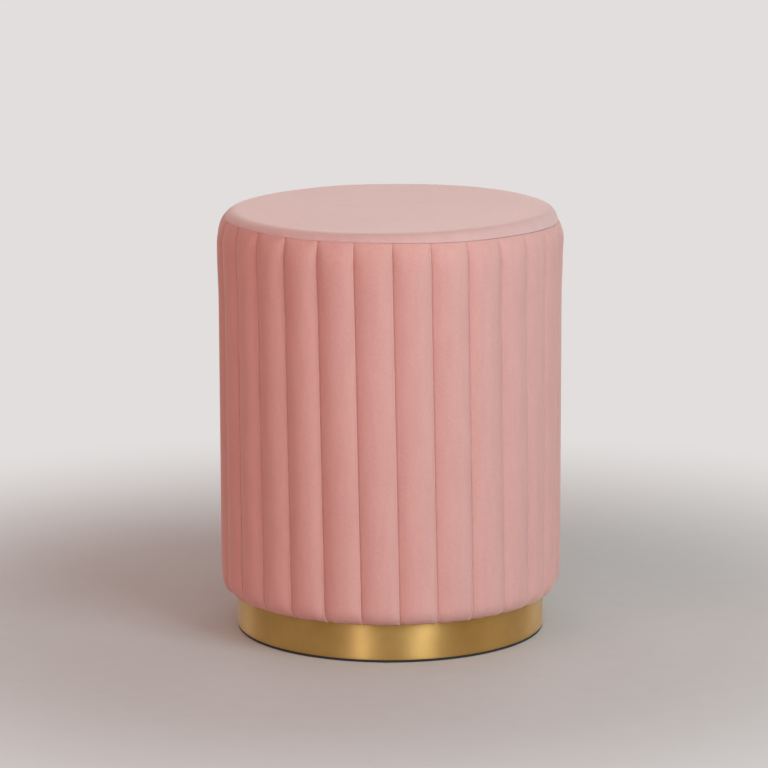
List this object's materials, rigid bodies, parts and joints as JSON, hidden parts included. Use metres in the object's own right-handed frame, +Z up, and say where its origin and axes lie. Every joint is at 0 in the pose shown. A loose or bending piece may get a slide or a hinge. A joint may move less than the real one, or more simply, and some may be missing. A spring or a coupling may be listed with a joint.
{
  "type": "upholstered stool",
  "caption": "Round pouffe stool: a padded velvet drum sewn in vertical channels, a plain round top panel, and a brushed brass-coloured plinth band on a thin black foot ring.",
  "frame": {"origin": "on the floor at the middle of the foot ring, on the drum's axis", "axes": "+Z up along the drum's axis, -Y towards the front of the stool, +X to the right seen from the front"},
  "size_m": [0.3518, 0.3518, 0.435],
  "materials": {
    "velvet": "matte",
    "brass_sheet": "satin",
    "black_rubber": "matte",
    "foam": "matte",
    "wadding": "matte",
    "plywood": "matte",
    "hardboard": "matte",
    "softwood": "matte",
    "plated_steel": "satin",
    "black_cloth": "matte"
  },
  "bodies": {
    "root": {"top_panel_cover": "velvet", "side_cover": "velvet", "plinth_band": "brass_sheet", "foot_ring": "black_rubber", "seat_foam": "foam", "side_foam": "foam", "seat_wadding": "wadding", "channel_wadding": "wadding", "seat_board": "plywood", "base_board": "plywood", "middle_hoop": "plywood", "plinth_board": "plywood", "plinth_hoop": "plywood", "drum_wall": "hardboard", "post_1": "softwood", "post_2": "softwood", "post_3": "softwood", "post_4": "softwood", "post_5": "softwood", "post_6": "softwood", "seat_post_screws": "plated_steel", "base_post_screws": "plated_steel", "hoop_screws": "plated_steel", "plinth_screws": "plated_steel", "plinth_hoop_screws": "plated_steel", "seat_wall_tacks": "plated_steel", "hoop_wall_tacks": "plated_steel", "base_wall_tacks": "plated_steel", "foot_ring_tacks": "plated_steel", "pull_strip_staples": "plated_steel", "dust_cover_staples": "plated_steel", "pull_strip": "black_cloth", "dust_cover": "black_cloth"}
  },
  "joints": []
}
